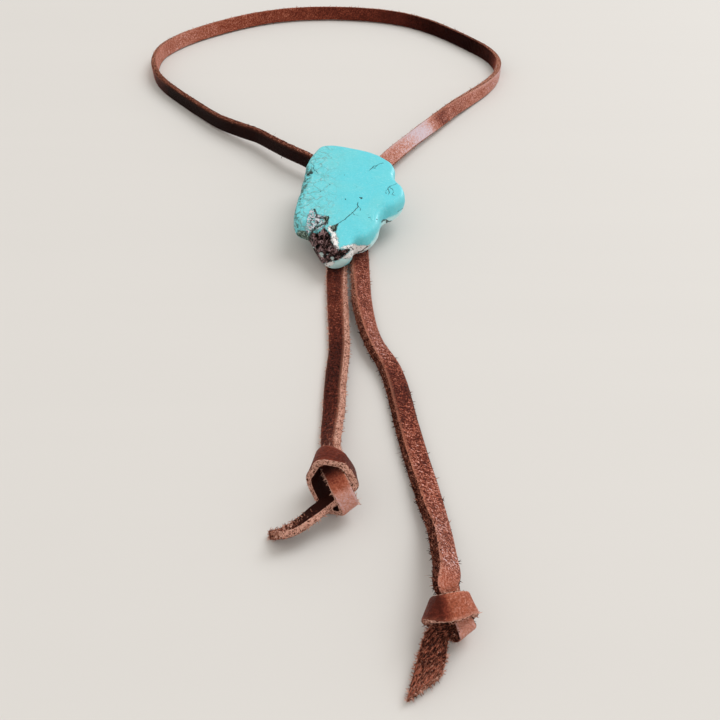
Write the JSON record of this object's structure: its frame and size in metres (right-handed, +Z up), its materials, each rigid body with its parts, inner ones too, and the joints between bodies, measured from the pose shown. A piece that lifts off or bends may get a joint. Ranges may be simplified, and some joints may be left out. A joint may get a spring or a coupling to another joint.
{
  "type": "leather lariat necklace",
  "caption": "Flat leather lace looped for the neck and drawn through a slide behind a polished turquoise slab, its hanging tails knotted near their slanted ends.",
  "frame": {"origin": "middle of the footprint of the lying necklace, at the height of the surface it lies on", "axes": "+Z up, +Y from the knotted tails towards the neck loop, +X to the right of a viewer at the tails' end"},
  "size_m": [0.1588, 0.3562, 0.019],
  "materials": {
    "lace_leather": "waxed brown grain side, fibrous flesh side and cut edges",
    "turquoise": "polished turquoise stone with a broken brown hollow",
    "slide_leather": "plain brown leather"
  },
  "bodies": {
    "root": {"lace": "lace_leather", "turquoise_slab": "turquoise", "slide": "slide_leather"}
  },
  "joints": []
}
